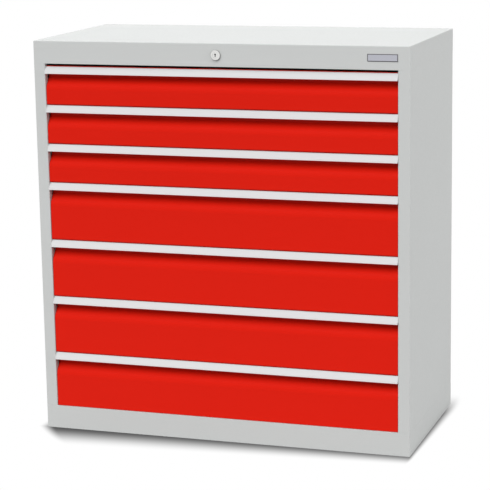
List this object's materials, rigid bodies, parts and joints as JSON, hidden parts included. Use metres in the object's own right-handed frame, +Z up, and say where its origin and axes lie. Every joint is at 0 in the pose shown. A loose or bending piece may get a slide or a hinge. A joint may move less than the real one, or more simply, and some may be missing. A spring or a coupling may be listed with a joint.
{
  "type": "multi-drawer cabinet",
  "caption": "Steel drawer cabinet with red drawer fronts, full-width handle strips, telescopic runners and a central lock that holds every drawer shut.",
  "frame": {"origin": "on the floor, at the middle of the width and of the whole depth from the lips of the handle strips to the back", "axes": "+Z up; the drawers open towards -Y; +X to the right, seen from the front"},
  "size_m": [0.979, 0.4882, 1.019],
  "materials": {
    "case_grey": "light grey powder coat, fine texture, satin",
    "front_red": "bright red powder coat, fine texture, satin",
    "tray_grey": "light grey powder coat, satin",
    "handle_aluminium": "pale natural anodised aluminium, matt",
    "zinc_steel": "zinc plated",
    "lock_chrome": "satin nickel plated",
    "guide_plastic": "black glass-filled nylon"
  },
  "bodies": {
    "carcass": {"top_cap": "case_grey", "base_pan": "case_grey", "side_panel_left": "case_grey", "side_panel_right": "case_grey", "back_panel": "case_grey", "upright_front_left": "zinc_steel", "upright_front_right": "zinc_steel", "upright_rear_left": "zinc_steel", "upright_rear_right": "zinc_steel", "runner_outer_members": "zinc_steel", "bar_guides": "guide_plastic", "lock_housing": "lock_chrome", "lock_nut": "zinc_steel", "spindle_bearing": "zinc_steel"},
    "lock": {"lock_plug": "lock_chrome", "lock_spindle": "zinc_steel"},
    "locking_bar": {"locking_bar": "zinc_steel", "locking_fingers": "zinc_steel"},
    "drawer_1": {"drawer_1_front": "front_red", "drawer_1_handle": "handle_aluminium", "drawer_1_tray": "tray_grey", "drawer_1_catch": "zinc_steel", "drawer_1_runner": "zinc_steel"},
    "drawer_1_slide": {"drawer_1_slide": "zinc_steel"},
    "drawer_2": {"drawer_2_front": "front_red", "drawer_2_handle": "handle_aluminium", "drawer_2_tray": "tray_grey", "drawer_2_catch": "zinc_steel", "drawer_2_runner": "zinc_steel"},
    "drawer_2_slide": {"drawer_2_slide": "zinc_steel"},
    "drawer_3": {"drawer_3_front": "front_red", "drawer_3_handle": "handle_aluminium", "drawer_3_tray": "tray_grey", "drawer_3_catch": "zinc_steel", "drawer_3_runner": "zinc_steel"},
    "drawer_3_slide": {"drawer_3_slide": "zinc_steel"},
    "drawer_4": {"drawer_4_front": "front_red", "drawer_4_handle": "handle_aluminium", "drawer_4_tray": "tray_grey", "drawer_4_catch": "zinc_steel", "drawer_4_runner": "zinc_steel"},
    "drawer_4_slide": {"drawer_4_slide": "zinc_steel"},
    "drawer_5": {"drawer_5_front": "front_red", "drawer_5_handle": "handle_aluminium", "drawer_5_tray": "tray_grey", "drawer_5_catch": "zinc_steel", "drawer_5_runner": "zinc_steel"},
    "drawer_5_slide": {"drawer_5_slide": "zinc_steel"},
    "drawer_6": {"drawer_6_front": "front_red", "drawer_6_handle": "handle_aluminium", "drawer_6_tray": "tray_grey", "drawer_6_catch": "zinc_steel", "drawer_6_runner": "zinc_steel"},
    "drawer_6_slide": {"drawer_6_slide": "zinc_steel"},
    "drawer_7": {"drawer_7_front": "front_red", "drawer_7_handle": "handle_aluminium", "drawer_7_tray": "tray_grey", "drawer_7_catch": "zinc_steel", "drawer_7_runner": "zinc_steel"},
    "drawer_7_slide": {"drawer_7_slide": "zinc_steel"}
  },
  "joints": [
    {"name": "lock_turn", "type": "hinge", "parent": "carcass", "child": "lock", "pos_m": [0, -0.2389, 0.99], "axis": [0, 1, 0], "range_deg": [0, 90]},
    {"name": "locking_bar_lift", "type": "slide", "parent": "carcass", "child": "locking_bar", "axis": [0, 0, 1], "range_m": [0, 0.01202]},
    {"name": "drawer_1_open", "type": "slide", "parent": "carcass", "child": "drawer_1", "axis": [0, -1, 0], "range_m": [0, 0.4]},
    {"name": "drawer_1_slide_run", "type": "slide", "parent": "carcass", "child": "drawer_1_slide", "axis": [0, -1, 0], "range_m": [0, 0.2]},
    {"name": "drawer_2_open", "type": "slide", "parent": "carcass", "child": "drawer_2", "axis": [0, -1, 0], "range_m": [0, 0.4]},
    {"name": "drawer_2_slide_run", "type": "slide", "parent": "carcass", "child": "drawer_2_slide", "axis": [0, -1, 0], "range_m": [0, 0.2]},
    {"name": "drawer_3_open", "type": "slide", "parent": "carcass", "child": "drawer_3", "axis": [0, -1, 0], "range_m": [0, 0.4]},
    {"name": "drawer_3_slide_run", "type": "slide", "parent": "carcass", "child": "drawer_3_slide", "axis": [0, -1, 0], "range_m": [0, 0.2]},
    {"name": "drawer_4_open", "type": "slide", "parent": "carcass", "child": "drawer_4", "axis": [0, -1, 0], "range_m": [0, 0.4]},
    {"name": "drawer_4_slide_run", "type": "slide", "parent": "carcass", "child": "drawer_4_slide", "axis": [0, -1, 0], "range_m": [0, 0.2]},
    {"name": "drawer_5_open", "type": "slide", "parent": "carcass", "child": "drawer_5", "axis": [0, -1, 0], "range_m": [0, 0.4]},
    {"name": "drawer_5_slide_run", "type": "slide", "parent": "carcass", "child": "drawer_5_slide", "axis": [0, -1, 0], "range_m": [0, 0.2]},
    {"name": "drawer_6_open", "type": "slide", "parent": "carcass", "child": "drawer_6", "axis": [0, -1, 0], "range_m": [0, 0.4]},
    {"name": "drawer_6_slide_run", "type": "slide", "parent": "carcass", "child": "drawer_6_slide", "axis": [0, -1, 0], "range_m": [0, 0.2]},
    {"name": "drawer_7_open", "type": "slide", "parent": "carcass", "child": "drawer_7", "axis": [0, -1, 0], "range_m": [0, 0.4]},
    {"name": "drawer_7_slide_run", "type": "slide", "parent": "carcass", "child": "drawer_7_slide", "axis": [0, -1, 0], "range_m": [0, 0.2]}
  ],
  "couplings": [
    {"joint": "lock_turn", "follows": "locking_bar_lift", "rad_per_m": 130.67},
    {"joint": "drawer_1_slide_run", "follows": "drawer_1_open", "ratio": 0.5},
    {"joint": "drawer_2_slide_run", "follows": "drawer_2_open", "ratio": 0.5},
    {"joint": "drawer_3_slide_run", "follows": "drawer_3_open", "ratio": 0.5},
    {"joint": "drawer_4_slide_run", "follows": "drawer_4_open", "ratio": 0.5},
    {"joint": "drawer_5_slide_run", "follows": "drawer_5_open", "ratio": 0.5},
    {"joint": "drawer_6_slide_run", "follows": "drawer_6_open", "ratio": 0.5},
    {"joint": "drawer_7_slide_run", "follows": "drawer_7_open", "ratio": 0.5}
  ]
}
